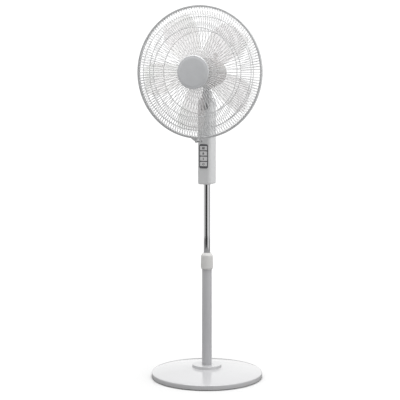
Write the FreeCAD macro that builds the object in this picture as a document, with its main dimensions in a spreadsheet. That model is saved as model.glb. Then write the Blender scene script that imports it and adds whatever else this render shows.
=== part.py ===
import FreeCAD, Part
import math
import os
import re

import Sketcher

# Pedestal fan on a round weighted base. Millimetres, +Z up, the fan blows towards -Y.
# The origin is on the floor, at the centre of the base.

os.makedirs("parts", exist_ok=True)
doc = FreeCAD.newDocument("PedestalFan")
V = FreeCAD.Vector

# ---------------------------------------------------------------- driving dimensions
DIMENSIONS = {
    "skin": 2.4,                # wall of the plastic mouldings
    "foot_rise": 2.0,           # the base's underside above the floor
    "base_radius": 190.0,
    "band_top": 15.5,           # top of the base's upright side band
    "dome_edge": 19.0,          # dome height beside the band
    "dome_top": 34.0,           # dome height beside the boss
    "dome_curve": 800.0,
    "boss_foot": 51.5,
    "boss_radius": 50.0,
    "boss_top": 43.0,
    "post_ring": 163.0,         # circle of the base screws and feet
    "ballast_radius": 150.0,
    "lower_radius": 16.75,      # lower tube
    "lower_wall": 1.2,
    "lower_foot": 16.0,
    "lower_top": 374.0,
    "collar_radius": 20.0,
    "collar_belly": 21.4,
    "collar_top": 431.0,
    "inner_radius": 11.75,      # inner tube
    "inner_wall": 1.0,
    "inner_foot": 308.0,
    "inner_top": 714.0,
    "column_width": 47.0,
    "column_depth": 65.0,
    "column_corner": 10.5,
    "column_foot": 666.0,
    "column_top": 912.0,
    "column_seam": 6.0,
    "fork_foot": 874.0,
    "slot_floor": 916.0,
    "slot_half": 12.8,          # half the gap between the fork's ears
    "tilt_height": 937.0,
    "ear_radius": 21.0,
    "panel_foot": 721.0,
    "panel_top": 802.0,
    "panel_width": 31.0,
    "key_width": 25.0,
    "key_height": 14.6,
    "key_pitch": 17.7,
    "key_low": 735.6,           # centre height of the lowest key
    "head_height": 1041.0,
    "motor_radius": 50.0,
    "motor_front": -33.0,
    "motor_back": 83.0,
    "stator_radius": 40.0,
    "rotor_radius": 22.0,
    "shaft_radius": 4.0,
    "bearing_gap": 0.04,        # radial running clearance of every shaft
    "cage_radius": 218.5,       # outside of the band
    "rim_ring": 213.9,          # centre of the grilles' rim wires
    "rim_wire": 2.2,
    "rim_plane": -78.0,
    "wire_radius": 1.0,
    "ring_wire": 1.3,
    "badge_radius": 55.0,
    "badge_face": -136.0,
    "blade_tip": 197.0,
    "blade_middle": -80.0,
    "hub_radius": 30.0,
    "gear_axis_y": 47.0,        # clutch shaft and crank axis behind the swing axis
    "clutch_axis_x": 15.0,
    "crank_axis_x": -3.75,
    "crank_throw": 7.15,
    "link_axis_x": -10.9,
}

sheet = doc.addObject("Spreadsheet::Sheet", "Dimensions")
for row, (alias, number) in enumerate(DIMENSIONS.items(), start=1):
    sheet.set(f"A{row}", alias)
    sheet.set(f"B{row}", str(number))
    sheet.setAlias(f"B{row}", alias)
doc.recompute()

NAMES = re.compile(r"\b(" + "|".join(DIMENSIONS) + r")\b")
UP = FreeCAD.Rotation()
ALONG_X = FreeCAD.Rotation(V(0, 1, 0), 90)
ALONG_Y = FreeCAD.Rotation(V(1, 0, 0), -90)


def bound(text):
    """An expression text in which each dimension's name points at the sheet."""
    return NAMES.sub(r"Dimensions.\1", str(text))


def value(text):
    """The number that an expression of the sheet's dimensions stands for now."""
    return float(sheet.evalExpression(str(text)))


# ---------------------------------------------------------------- modelling helpers
finished = []


def finish(shape, label):
    """Name one finished piece; it is written out under this name."""
    shape.Label = label
    finished.append(shape)
    return shape


def place(thing, x=0, y=0, z=0, turn=UP):
    """Put an object at a point given by expressions."""
    thing.Placement = FreeCAD.Placement(V(value(x), value(y), value(z)), turn)
    for axis, text in zip("xyz", (x, y, z)):
        thing.setExpression(f"Placement.Base.{axis}", bound(text))
    return thing


def size(thing, **texts):
    """Bind an object's own sizes to the sheet."""
    for name, text in texts.items():
        thing.setExpression(name, bound(text))
    return thing


def box(x, y, z, wide, deep, high):
    """A box standing on z, centred on x and y."""
    made = doc.addObject("Part::Box", "Block")
    size(made, Length=wide, Width=deep, Height=high)
    return place(made, f"{x} - ({wide}) / 2", f"{y} - ({deep}) / 2", z)


def rod(radius, length, x=0, y=0, z=0, turn=UP):
    """A cylinder that starts at the point and runs along +Z, +X or +Y."""
    made = doc.addObject("Part::Cylinder", "Rod")
    size(made, Radius=radius, Height=length)
    return place(made, x, y, z, turn)


def sleeve(outer, inner, length, x=0, y=0, z=0, turn=UP):
    """A plain tube."""
    return cut(rod(outer, length, x, y, z, turn), rod(inner, length, x, y, z, turn))


def fuse(*shapes):
    """One solid made of several."""
    made = doc.addObject("Part::MultiFuse", "Union")
    made.Shapes = list(shapes)
    made.Refine = True
    return made


def cut(base, *tools):
    """The base without the tools."""
    made = doc.addObject("Part::Cut", "Cut")
    made.Base = base
    made.Tool = tools[0] if len(tools) == 1 else fuse(*tools)
    return made


def common(one, other):
    """What two shapes share."""
    made = doc.addObject("Part::MultiCommon", "Common")
    made.Shapes = [one, other]
    return made


def group(shapes):
    """Several separate solids of one kind, kept as one piece."""
    made = doc.addObject("Part::Compound", "Group")
    made.Links = list(shapes)
    return made


def round_places(count, radius, first=0.0):
    """Expressions for points spaced evenly on a circle."""
    for k in range(count):
        angle = first + 360.0 * k / count
        yield f"({radius}) * {math.cos(math.radians(angle)):.6f}", \
            f"({radius}) * {math.sin(math.radians(angle)):.6f}"


def plane_of(body, role):
    return next(o for o in body.Origin.OriginFeatures if o.Role == role)


def draw(sketch, points):
    """Close lines and arcs through points. A third item is the radius of the arc that leaves
    the point; it is negative where the arc bends to the left of the way it goes."""
    spots = [(value(p[0]), value(p[1])) for p in points]
    first_end = []
    second_end = []
    for i, point in enumerate(points):
        ax, ay = spots[i]
        bx, by = spots[(i + 1) % len(spots)]
        if len(point) == 2:
            sketch.addGeometry(Part.LineSegment(V(ax, ay, 0), V(bx, by, 0)), False)
            first_end.append(1)
            second_end.append(2)
            continue
        radius = value(point[2])
        chord = math.hypot(bx - ax, by - ay)
        rise = abs(radius) - math.sqrt(radius ** 2 - chord ** 2 / 4)
        side = math.copysign(rise / chord, radius)
        middle = V((ax + bx) / 2 - (by - ay) * side, (ay + by) / 2 + (bx - ax) * side, 0)
        ends = [V(ax, ay, 0), V(bx, by, 0)]
        if radius > 0:
            ends.reverse()
        sketch.addGeometry(Part.Arc(ends[0], middle, ends[1]), False)
        sketch.addConstraint(Sketcher.Constraint("Radius", i, abs(radius)))
        sketch.setExpression(f"Constraints[{sketch.ConstraintCount - 1}]", bound(f"abs({point[2]})"))
        first_end.append(2 if radius > 0 else 1)
        second_end.append(1 if radius > 0 else 2)
    for i in range(len(points)):
        after = (i + 1) % len(points)
        sketch.addConstraint(Sketcher.Constraint("Coincident", i, second_end[i], after, first_end[after]))
    for i, point in enumerate(points):
        for text, spot, kind, axis in zip(point, spots[i], ("DistanceX", "DistanceY"), (-2, -1)):
            if abs(spot) < 1e-9:
                sketch.addConstraint(Sketcher.Constraint("PointOnObject", i, first_end[i], axis))
                continue
            sketch.addConstraint(Sketcher.Constraint(kind, -1, 1, i, first_end[i], spot))
            sketch.setExpression(f"Constraints[{sketch.ConstraintCount - 1}]", bound(text))


def sketched(body, role, points):
    """A closed sketch on one of the body's own planes."""
    sketch = body.newObject("Sketcher::SketchObject", "Profile")
    sketch.AttachmentSupport = (plane_of(body, role), "")
    sketch.MapMode = "FlatFace"
    draw(sketch, points)
    return sketch


def turned(points, flat=False):
    """A body turned about Z from points (radius, z), or about the fan's own axis from points
    (radius, y) when flat is true."""
    body = doc.addObject("PartDesign::Body", "Turned")
    sketch = sketched(body, "XY_Plane" if flat else "XZ_Plane", points)
    turn = body.newObject("PartDesign::Revolution", "Turn")
    turn.Profile = sketch
    turn.ReferenceAxis = (sketch, ["V_Axis"])
    turn.Angle = 360
    if flat:
        place(body, z="head_height")
    return body


def padded(points, length, role="XY_Plane", x=0, y=0, z=0):
    """A body pushed out from a closed outline on one of its planes."""
    body = doc.addObject("PartDesign::Body", "Padded")
    sketch = sketched(body, role, points)
    pad = body.newObject("PartDesign::Pad", "Pad")
    pad.Profile = sketch
    size(pad, Length=length)
    place(body, x, y, z)
    return body


def rounded_outline(wide, high, corner):
    """A rectangle round the origin with four round corners, going anticlockwise."""
    half_w, half_h = f"({wide}) / 2", f"({high}) / 2"
    in_w, in_h = f"({wide}) / 2 - ({corner})", f"({high}) / 2 - ({corner})"
    bend = f"-({corner})"
    return [
        (f"-({in_w})", f"-({half_h})"), (in_w, f"-({half_h})", bend),
        (half_w, f"-({in_h})"), (half_w, in_h, bend),
        (in_w, half_h), (f"-({in_w})", half_h, bend),
        (f"-({half_w})", in_h), (f"-({half_w})", f"-({in_h})", bend),
    ]


def copied(shape_function, label):
    """A piece whose shape is worked out in code from the sheet."""
    made = doc.addObject("Part::Feature", "Formed")
    made.Shape = shape_function()
    return finish(made, label)


# ---------------------------------------------------------------- base
def base_cover():
    """Glossy base moulding: side band, domed top, central boss, screw posts underneath."""
    shell = turned([
        ("base_radius - skin", "foot_rise"),
        ("base_radius", "foot_rise"),
        ("base_radius", "band_top", "-3.6"),
        ("base_radius - 4.0", "dome_edge", "-dome_curve"),
        ("boss_foot", "dome_top"),
        ("boss_radius", "boss_top", "-1.2"),
        ("boss_radius - 1.2", "boss_top + 1.0"),
        ("lower_radius + 0.4", "boss_top + 1.0"),
        ("lower_radius + 0.4", "boss_top + 1.0 - skin"),
        ("boss_radius - skin", "boss_top + 1.0 - skin"),
        ("boss_foot - skin", "dome_top - skin", "dome_curve"),
        ("base_radius - skin - 3.0", "dome_edge - skin"),
        ("base_radius - skin", "band_top - 1.5"),
    ])
    posts = [cut(rod(4.2, 12.2, x, y, "foot_rise + 3.2"), rod(1.3, 9.0, x, y, "foot_rise + 3.2"))
             for x, y in round_places(5, "post_ring", 18)]
    finish(fuse(shell, *posts), "base_cover")


def base_ballast():
    """Steel weight plate inside the base."""
    plate = turned([
        ("14.0", "foot_rise + 3.4"), ("ballast_radius", "foot_rise + 3.4"),
        ("ballast_radius", "foot_rise + 8.4"), ("14.0", "foot_rise + 8.4"),
    ])
    holes = [rod(2.2, 9.0, x, y, "foot_rise + 1.0") for x, y in round_places(4, "34.0", 45)]
    finish(cut(plate, *holes), "base_ballast")


def base_bottom_cover():
    """Flat plastic sheet that closes the base."""
    sheet_disc = turned([
        ("39.0", "foot_rise + 0.6"), ("base_radius - skin - 0.3", "foot_rise + 0.6"),
        ("base_radius - skin - 0.3", "foot_rise + 3.0"), ("39.0", "foot_rise + 3.0"),
    ])
    holes = [rod(1.8, 6.0, x, y, "foot_rise") for x, y in round_places(5, "post_ring", 18)]
    holes += [rod(3.2, 6.0, x, y, "foot_rise") for x, y in round_places(5, "post_ring", 54)]
    finish(cut(sheet_disc, *holes), "base_bottom_cover")


def base_feet():
    """Five rubber feet with plugs through the bottom cover."""
    feet = [fuse(rod(9.0, "foot_rise + 0.5", x, y, 0), rod(3.1, "foot_rise + 4.5", x, y, 0))
            for x, y in round_places(5, "post_ring", 54)]
    finish(group(feet), "base_feet")


def base_screws():
    """Five screws that hold the bottom cover to the base cover's posts."""
    screws = [fuse(rod(3.4, 1.6, x, y, "foot_rise - 1.1"), rod(1.25, 10.0, x, y, "foot_rise - 1.1"))
              for x, y in round_places(5, "post_ring", 18)]
    finish(group(screws), "base_screws")


def tube_socket():
    """Flanged socket that stands on the ballast and holds the lower tube."""
    socket = turned([
        ("4.3", "foot_rise + 8.5"), ("42.0", "foot_rise + 8.5"), ("42.0", "foot_rise + 11.5"),
        ("21.5", "foot_rise + 11.5"), ("20.0", "foot_rise + 14.5"), ("20.0", "boss_top - 3.0"),
        ("lower_radius + 0.05", "boss_top - 3.0"), ("lower_radius + 0.05", "foot_rise + 13.8"),
        ("4.3", "foot_rise + 13.8"),
    ])
    holes = [rod(2.2, 6.0, x, y, "foot_rise + 7.0") for x, y in round_places(4, "34.0", 45)]
    finish(cut(socket, *holes), "tube_socket")


def socket_bolts():
    """Four bolts with nuts that clamp the socket to the ballast."""
    bolts = []
    for x, y in round_places(4, "34.0", 45):
        shank = rod(2.0, 12.2, x, y, "foot_rise + 2.0")
        head = rod(3.9, 1.3, x, y, "foot_rise + 2.0")
        nut = rod(3.9, 3.0, x, y, "foot_rise + 11.6")
        bolts.append(fuse(shank, head, nut))
    finish(group(bolts), "socket_bolts")


def lower_tube():
    """Painted outer stand tube."""
    finish(sleeve("lower_radius", "lower_radius - lower_wall", "lower_top - lower_foot",
                  z="lower_foot"), "lower_tube")


def tube_insert():
    """Threaded plug pressed into the lower tube's foot."""
    finish(sleeve("lower_radius - lower_wall - 0.03", "4.05", "20.0", z="lower_foot"), "tube_insert")


def tube_bolt():
    """Bolt and washer that pull the tube down into its socket."""
    finish(fuse(rod(4.0, 24.0, z="foot_rise + 3.0"), rod(12.0, 1.4, z="foot_rise + 1.8"),
                rod(7.0, 1.6, z="foot_rise + 0.3")), "tube_bolt")


def collar_collet():
    """Split plastic sleeve in the lower tube's mouth. It guides and grips the inner tube."""
    body = turned([
        ("inner_radius + bearing_gap", "lower_top - 40"),
        ("lower_radius - lower_wall - 0.03", "lower_top - 40"),
        ("lower_radius - lower_wall - 0.03", "lower_top + 0.1"),
        ("17.2", "lower_top + 0.1"), ("17.2", "lower_top + 34"),
        ("15.0", "lower_top + 37"), ("13.2", "lower_top + 47"),
        ("inner_radius + bearing_gap", "lower_top + 47"),
    ])
    slits = [box(0, 0, "lower_top + 26", 1.4, 60, 30), box(0, 0, "lower_top + 26", 60, 1.4, 30)]
    finish(cut(body, *slits), "collar_collet")


def height_collar():
    """Ribbed nut that squeezes the collet."""
    body = turned([
        ("17.6", "lower_top + 0.6"), ("collar_radius - 1.2", "lower_top + 0.6"),
        ("collar_belly", "lower_top + 5"), ("collar_belly", "lower_top + 22"),
        ("collar_radius", "collar_top - 8"), ("collar_radius - 1.5", "collar_top - 5.5"),
        ("inner_radius + 2.0", "collar_top"), ("inner_radius + 0.5", "collar_top"),
        ("inner_radius + 0.5", "collar_top - 5"), ("13.7", "collar_top - 7"),
        ("15.5", "lower_top + 37.4"), ("17.6", "lower_top + 34.6"),
    ])
    grooves = [rod(0.7, 45.0, x, y, "lower_top + 4")
               for x, y in round_places(30, "collar_belly + 0.15")]
    finish(cut(body, *grooves), "height_collar")


# ---------------------------------------------------------------- column
def inner_tube():
    """Chromed inner stand tube."""
    finish(sleeve("inner_radius", "inner_radius - inner_wall", "inner_top - inner_foot",
                  z="inner_foot"), "inner_tube")


def tube_stop():
    """Stop ring on the inner tube's foot, which runs in the lower tube's bore."""
    finish(turned([
        ("0", "inner_foot - 3"), ("lower_radius - lower_wall - 0.08", "inner_foot - 3"),
        ("lower_radius - lower_wall - 0.08", "inner_foot + 25"),
        ("inner_radius + 0.02", "inner_foot + 25"), ("inner_radius + 0.02", "inner_foot"),
        ("0", "inner_foot"),
    ]), "tube_stop")


def column_solid(inset, low, high):
    """The column's rounded section, with its foot's edge rounded, as a solid."""
    body = padded(rounded_outline(f"column_width - 2 * ({inset})", f"column_depth - 2 * ({inset})",
                                  f"column_corner - ({inset})"), f"({high}) - ({low})")
    place(body, z=low)
    return body


def column_shell(label, front):
    """One half of the control column, open at the top."""
    outer = column_solid("0", "column_foot", "column_top")
    doc.recompute()
    pad = outer.Tip
    under = next(f"Face{i + 1}" for i, face in enumerate(pad.Shape.Faces)
                 if face.normalAt(0, 0).z < -0.9)
    softened = outer.newObject("PartDesign::Fillet", "Softened")
    softened.Base = (pad, [under])
    softened.Radius = 6.5
    outer.Tip = softened
    hollow = column_solid("skin", "column_foot + 3", "column_top + 1")
    tube_hole = rod("inner_radius + 0.3", 20, z="column_foot - 5")
    tools = [hollow, tube_hole]
    if front:
        half = box(0, "column_seam - 50", "column_foot - 10", 80, 100, 300)
        tools.append(box(0, "-column_depth / 2", "panel_foot + 2", "panel_width - 4", 12,
                         "panel_top - panel_foot - 4"))
    else:
        half = box(0, "column_seam + 50.05", "column_foot - 10", 80, 100, 300)
        tools += [rod(2.0, 40, 0, 10, z, ALONG_Y) for z in ("column_foot + 36", "fork_foot + 20")]
        tools.append(rod(4.4, 40, 0, 10, "column_foot + 16", ALONG_Y))
    finish(cut(common(outer, half), *tools), label)


def tilt_fork():
    """Fork at the column's top. Two rounded ears carry the tilt bolt, with a low wall behind."""
    core = column_solid("skin + 0.15", "fork_foot", "column_top + 1.5")
    ears = common(column_solid("0", "column_top + 0.1", "tilt_height + 30"), padded([
        ("-column_depth / 2", "column_top - 1"), ("column_depth / 2", "column_top - 1"),
        ("column_depth / 2", "column_top + 3"), ("ear_radius - 2.0", "tilt_height + 8", "-ear_radius"),
        ("-ear_radius + 2.0", "tilt_height + 8"), ("-column_depth / 2", "column_top + 3"),
    ], 60, "YZ_Plane", x=-30))
    solid = fuse(core, ears)
    slot = box(0, "17.8 - 40", "slot_floor", "2 * slot_half", 80, 80)
    notch = box(0, 0, "tilt_height", "2 * slot_half", 80, 80)
    bolt_hole = rod("4.05", 80, -40, 0, "tilt_height", ALONG_X)
    wire_way = rod(5, 60, 0, 6, "fork_foot - 2")
    screw_hole = rod(1.3, 22, 0, 10, "fork_foot + 20", ALONG_Y)
    finish(cut(solid, slot, notch, bolt_hole, wire_way, screw_hole), "tilt_fork")


def mast_socket():
    """Block inside the column's foot that holds the inner tube."""
    block = padded(rounded_outline("column_width - 2 * skin - 0.4", "column_depth - 2 * skin - 0.4",
                                   "column_corner - skin"), 44, z="column_foot + 3.2")
    bore = rod("inner_radius + 0.02", 60, z="column_foot")
    pilot = rod(1.3, 30, 0, "inner_radius + 2.5", "column_foot + 36", ALONG_Y)
    cord_way = rod(4.6, 30, 0, "inner_radius + 2.5", "column_foot + 16", ALONG_Y)
    riser = box(0, "inner_radius + 9", "column_foot", 7, 11, 32)
    room = box(0, "-column_depth / 2 + 6", "column_foot + 20", 40, 10, 40)
    finish(cut(block, bore, room, pilot, cord_way, riser), "mast_socket")


def column_screws():
    """Screws that close the column from behind."""
    screws = [fuse(rod(1.25, 13, 0, "column_depth / 2 - 12.9", z, ALONG_Y),
                   rod(3.4, 1.6, 0, "column_depth / 2 + 0.05", z, ALONG_Y))
              for z in ("column_foot + 36", "fork_foot + 20")]
    finish(group(screws), "column_screws")


def cord_gland():
    """Rubber sleeve low on the column's back, where the mains cord would enter."""
    finish(cut(fuse(rod(4.3, 3.5, 0, "column_depth / 2 - 2.3", "column_foot + 16", ALONG_Y),
                    rod(6.5, 3, 0, "column_depth / 2 + 0.05", "column_foot + 16", ALONG_Y)),
               rod(2.8, 30, 0, "column_depth / 2 - 10", "column_foot + 16", ALONG_Y)), "cord_gland")


def panel_bezel():
    """Dark frame round the four keys."""
    middle = "(panel_foot + panel_top) / 2"
    frame = padded(rounded_outline("panel_width", "panel_top - panel_foot", "6.0"), 1.6, "XZ_Plane",
                   y="-column_depth / 2 - 0.05", z=middle)
    neck = box(0, "-column_depth / 2 + 1.1", "panel_foot + 2.3", "panel_width - 4.6", 2.4,
               "panel_top - panel_foot - 4.6")
    windows = [box(0, "-column_depth / 2", f"key_low + {k} * key_pitch - key_height / 2 - 0.35",
                   "key_width + 0.7", 12, "key_height + 0.7") for k in range(4)]
    finish(cut(fuse(frame, neck), *windows), "panel_bezel")


def speed_key(step, label):
    """One piano key: a rounded cap on a stem that runs back into the switch block."""
    cap = padded(rounded_outline("key_width", "key_height", "2.2"), 6.0, "XZ_Plane",
                 y="-column_depth / 2 + 3.4", z=f"key_low + {step} * key_pitch")
    stem = box(0, "-column_depth / 2 + 8.4", f"key_low + {step} * key_pitch - 3", 8, 10.2, 6)
    finish(fuse(cap, stem), label)


def switch_block():
    """Latching switch that the four keys press."""
    block = box(0, "-column_depth / 2 + 17.5", "panel_foot + 3", 30, 11, "panel_top - panel_foot - 6")
    slots = [box(0, "-column_depth / 2 + 16.5", f"key_low + {k} * key_pitch - 3.4", 8.8, 13.0, 6.8)
             for k in range(4)]
    tags = [box(x, "-column_depth / 2 + 24.5", "panel_foot + 10", 4, 3.2, 5) for x in (-8, 0, 8)]
    finish(fuse(cut(block, *slots), *tags), "switch_block")


def capacitor():
    """Run capacitor in the column."""
    finish(padded(rounded_outline("28", "15", "2.0"), 38, y="12", z="panel_top + 12"), "capacitor")


# ---------------------------------------------------------------- tilt
def tilt_neck():
    """Neck between the fork's ears. It turns on the tilt bolt and carries the swing post."""
    width = "2 * slot_half - 0.6"
    lug = padded([
        ("-14", "tilt_height", "-14.05"), ("14", "tilt_height"),
        ("13.4", "head_height - 64"), ("-13.4", "head_height - 64"),
    ], width, "YZ_Plane")
    place(lug, x=f"-({width}) / 2")
    table = rod(13.4, 6.0, z="head_height - 66.2")
    bolt_hole = rod(4.05, 40, -20, 0, "tilt_height", ALONG_X)
    post_hole = rod("6 + bearing_gap", 40, z="head_height - stator_radius - 42.3")
    pin = rod(2.0, 6.0, "link_axis_x", 0, "head_height - 62")
    finish(fuse(cut(fuse(lug, table), bolt_hole, post_hole), pin), "tilt_neck")


def tilt_bolt():
    """Bolt through the ears and the neck, with its flat head on the right."""
    finish(fuse(rod(4.0, "column_width + 3.4", "-column_width / 2 - 3.3", 0, "tilt_height", ALONG_X),
                rod(6.0, 2.0, "column_width / 2 + 0.05", 0, "tilt_height", ALONG_X)), "tilt_bolt")


def tilt_nut():
    """Nut on the tilt bolt's left end."""
    hexagon = [(f"{6.2 * math.cos(math.radians(60 * k)):.5f}",
                f"{6.2 * math.sin(math.radians(60 * k)):.5f}") for k in range(6)]
    nut = padded(hexagon, 3.2, "YZ_Plane", "-column_width / 2 - 3.25", 0, "tilt_height")
    finish(cut(nut, rod(4.02, 8, "-column_width / 2 - 5", 0, "tilt_height", ALONG_X)), "tilt_nut")


# ---------------------------------------------------------------- motor
def motor_front_cover():
    """Front half of the motor's plastic housing."""
    shell = turned([
        ("20", "motor_front"), ("motor_radius - 7", "motor_front", "-7.0"),
        ("motor_radius", "motor_front + 7"), ("motor_radius", "-0.05"),
        ("motor_radius - skin", "-0.05"), ("motor_radius - skin", "motor_front + 8", "5.0"),
        ("motor_radius - skin - 5", "motor_front + skin"), ("20", "motor_front + skin"),
    ], flat=True)
    finish(cut(shell, rod(15.2, 40, z="head_height - 68")), "motor_front_cover")


def cooling_slot(angle):
    """A radial slot cutter for the motor's back, turned about the fan's axis."""
    cutter = doc.addObject("Part::Box", "Slot")
    size(cutter, Length=2.4, Width=30, Height=14)
    set_back = FreeCAD.Placement(V(0, value("motor_back") - 10, value("head_height")),
                                 FreeCAD.Rotation(V(0, 1, 0), angle))
    cutter.Placement = set_back * FreeCAD.Placement(V(-1.2, -15, 12), UP)
    return cutter


def motor_rear_cover():
    """Rear half of the motor's housing, with cooling slots and a hole for the knob."""
    shell = turned([
        ("motor_radius - skin", "0.05"), ("motor_radius", "0.05"), ("motor_radius", "38"),
        ("46", "motor_back - 18", "-18.0"), ("30", "motor_back - 1", "-90"), ("0", "motor_back"),
        ("0", "motor_back - skin"), ("29", "motor_back - skin - 1", "15.6"),
        ("46 - skin", "motor_back - 19"), ("motor_radius - skin", "38"),
    ], flat=True)
    slots = [cooling_slot(22.5 * k + 11.25) for k in range(16)]
    opening = rod(15.2, 40, z="head_height - 68")
    rod_hole = rod(2.6, 40, "clutch_axis_x", "gear_axis_y", "head_height + 30")
    crank_hole = rod(6.0, 40, "crank_axis_x", "gear_axis_y", "head_height - 68")
    finish(cut(shell, opening, rod_hole, crank_hole, *slots), "motor_rear_cover")


def bolt_places():
    """Where the four motor bolts stand, as x and z in the head's own plane."""
    return [(x, f"head_height + {z}") for x, z in round_places(4, "35.3", 45)]


def front_bell():
    """Front end bell: bearing seat and the threaded nose that the rear grille sits on."""
    bell = turned([
        ("12.5", "-43"), ("17", "-43"), ("17", "-29.9"), ("36", "-28.4"), ("stator_radius", "-24"),
        ("stator_radius", "-12.6"), ("37.4", "-12.6"), ("37.4", "-22.6"), ("34.6", "-25.4"),
        ("12", "-26.4"), ("12", "-22"), ("8.02", "-22"), ("8.02", "-36"), ("12.5", "-36"),
    ], flat=True)
    holes = [rod(1.9, 20, x, -36, z, ALONG_Y) for x, z in bolt_places()]
    finish(cut(bell, *holes), "front_bell")


def rear_bell():
    """Rear end bell, cast in one with the saddle and the swing post."""
    bell = turned([
        ("8.02", "28"), ("12", "28"), ("12", "26.4"), ("34.6", "25.4"), ("stator_radius", "22"),
        ("stator_radius", "12.6"), ("37.4", "12.6"), ("37.4", "20.6"), ("32.6", "23.2"),
        ("12", "23.8"), ("12", "18"), ("8.02", "18"),
    ], flat=True)
    shelf = box(0, 7.5, "head_height - stator_radius - 5", 20, 31, 4.5)
    web = box(0, 17, "head_height - stator_radius - 5", 16, 7, 7)
    boss = rod(13.4, 13.0, z="head_height - stator_radius - 15.6")
    post = rod(6, 27, z="head_height - stator_radius - 42")
    holes = [rod(1.9, 20, x, 14, z, ALONG_Y) for x, z in bolt_places()]
    finish(cut(fuse(bell, shelf, web, boss, post), *holes), "rear_bell")


def stator_core():
    """Laminated stator with eight winding slots."""
    ring = sleeve("stator_radius", "rotor_radius + 0.4", 25, 0, -12.5, "head_height", ALONG_Y)
    slots = [rod(4.3, 40, x, -20, f"head_height + {z}", ALONG_Y)
             for x, z in round_places(8, "28.4", 22.5)]
    holes = [rod(1.9, 40, x, -20, z, ALONG_Y) for x, z in bolt_places()]
    finish(cut(ring, *slots, *holes), "stator_core")


def stator_windings():
    """Copper coils: end turns joined through the slots."""
    ends = [sleeve(32.2, 24.6, 6, 0, y, "head_height", ALONG_Y) for y in (-19.0, 13.0)]
    runs = [rod(3.9, 30, x, -15, f"head_height + {z}", ALONG_Y)
            for x, z in round_places(8, "28.4", 22.5)]
    finish(fuse(*ends, *runs), "stator_windings")


def bearing(y, label):
    """Sleeve bearing for the motor shaft."""
    finish(sleeve(8.0, "shaft_radius + bearing_gap", 10, 0, y, "head_height", ALONG_Y), label)


def motor_bolts():
    """Four long bolts that draw the two end bells together."""
    bolts = []
    for x, z in bolt_places():
        head = rod(2.9, 1.2, x, -30.3, z, ALONG_Y)
        nut = rod(3.2, 2.0, x, 25.9, z, ALONG_Y)
        bolts.append(fuse(head, rod(1.7, 57.9, x, -30, z, ALONG_Y), nut))
    finish(group(bolts), "motor_bolts")


WORM_MODULE = 0.875


def motor_shaft():
    """Motor shaft with the worm cut on its rear end."""
    def shape():
        radius = value("shaft_radius")
        shaft = Part.makeCylinder(radius, 150, V(0, -110, 0), V(0, 1, 0))
        worm_middle = value("gear_axis_y")
        shaft = shaft.fuse(Part.makeCylinder(3.2, 15, V(0, worm_middle - 7, 0), V(0, 1, 0)))
        shaft = shaft.fuse(Part.makeCylinder(radius, 4, V(0, worm_middle + 8, 0), V(0, 1, 0)))
        pitch = math.pi * WORM_MODULE
        helix = Part.makeHelix(pitch, pitch * 5, 3.2)
        tooth = Part.makePolygon([V(3.0, 0, -0.62), V(5.2, 0, -0.35), V(5.2, 0, 0.35),
                                  V(3.0, 0, 0.62), V(3.0, 0, -0.62)])
        thread = Part.Wire(helix).makePipeShell([tooth], True, True)
        thread.Placement = FreeCAD.Placement(V(0, worm_middle - pitch * 2.5, 0), ALONG_Y)
        shaft = shaft.fuse(thread)
        hole = Part.makeCylinder(1.53, 20, V(-10, -61, 0), V(1, 0, 0))
        made = shaft.cut(hole)
        made.translate(V(0, 0, value("head_height")))
        return made
    copied(shape, "motor_shaft")


def rotor_core():
    """Squirrel-cage rotor pressed on the shaft."""
    finish(sleeve("rotor_radius", "shaft_radius + 0.01", 29, 0, -14.5, "head_height", ALONG_Y),
           "rotor_core")


def drive_pin():
    """Cross pin that turns the propeller."""
    finish(rod(1.5, 18, -9, -61, "head_height", ALONG_X), "drive_pin")


# ---------------------------------------------------------------- swing gearing
def gearbox_case():
    """Open-topped case behind the motor for the swing gears."""
    outer = box(3.4, "gear_axis_y", "head_height - 30", 51.6, 37.2, 46)
    inner = box(3.4, "gear_axis_y", "head_height - 27.5", 46.8, 33, 46)
    shaft_way = rod("shaft_radius + 0.6", 8, 0, 26, "head_height", ALONG_Y)
    clutch_seat = rod("3.5 + bearing_gap", 8, "clutch_axis_x", "gear_axis_y", "head_height - 33")
    crank_seat = rod("4 + bearing_gap", 8, "crank_axis_x", "gear_axis_y", "head_height - 33")
    finish(cut(outer, inner, shaft_way, clutch_seat, crank_seat), "gearbox_case")


def gearbox_lid():
    """Lid of the gear case; the clutch shaft turns in it."""
    finish(cut(box(3.4, "gear_axis_y", "head_height + 16.1", 51.6, 37.2, 2.4),
               rod("3.5 + bearing_gap", 8, "clutch_axis_x", "gear_axis_y", "head_height + 14")),
           "gearbox_lid")


def toothed(teeth, root, tip, root_width, tip_width, thick, phase):
    """A plain gear blank with straight-sided teeth, in code."""
    gear = Part.makeCylinder(root, thick)
    for k in range(teeth):
        outline = [V(root - 0.4, -root_width / 2, 0), V(tip, -tip_width / 2, 0),
                   V(tip, tip_width / 2, 0), V(root - 0.4, root_width / 2, 0)]
        tooth = Part.Face(Part.makePolygon(outline + outline[:1])).extrude(V(0, 0, thick))
        tooth.rotate(V(0, 0, 0), V(0, 0, 1), phase + 360.0 * k / teeth)
        gear = gear.fuse(tooth)
    return gear.removeSplitter()


def worm_wheel():
    """Worm wheel that runs free on the clutch shaft until the knob is pushed down."""
    def shape():
        gear = toothed(24, 9.4, 11.1, 1.25, 0.6, 4.0, 0.0)
        gear = gear.fuse(Part.makeCylinder(6.0, 9.0, V(0, 0, -2.5)))
        gear = gear.cut(Part.makeCylinder(3.5 + value("bearing_gap"), 20, V(0, 0, -5)))
        gear.translate(V(value("clutch_axis_x"), value("gear_axis_y"), value("head_height") - 2))
        return gear
    copied(shape, "worm_wheel")


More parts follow.
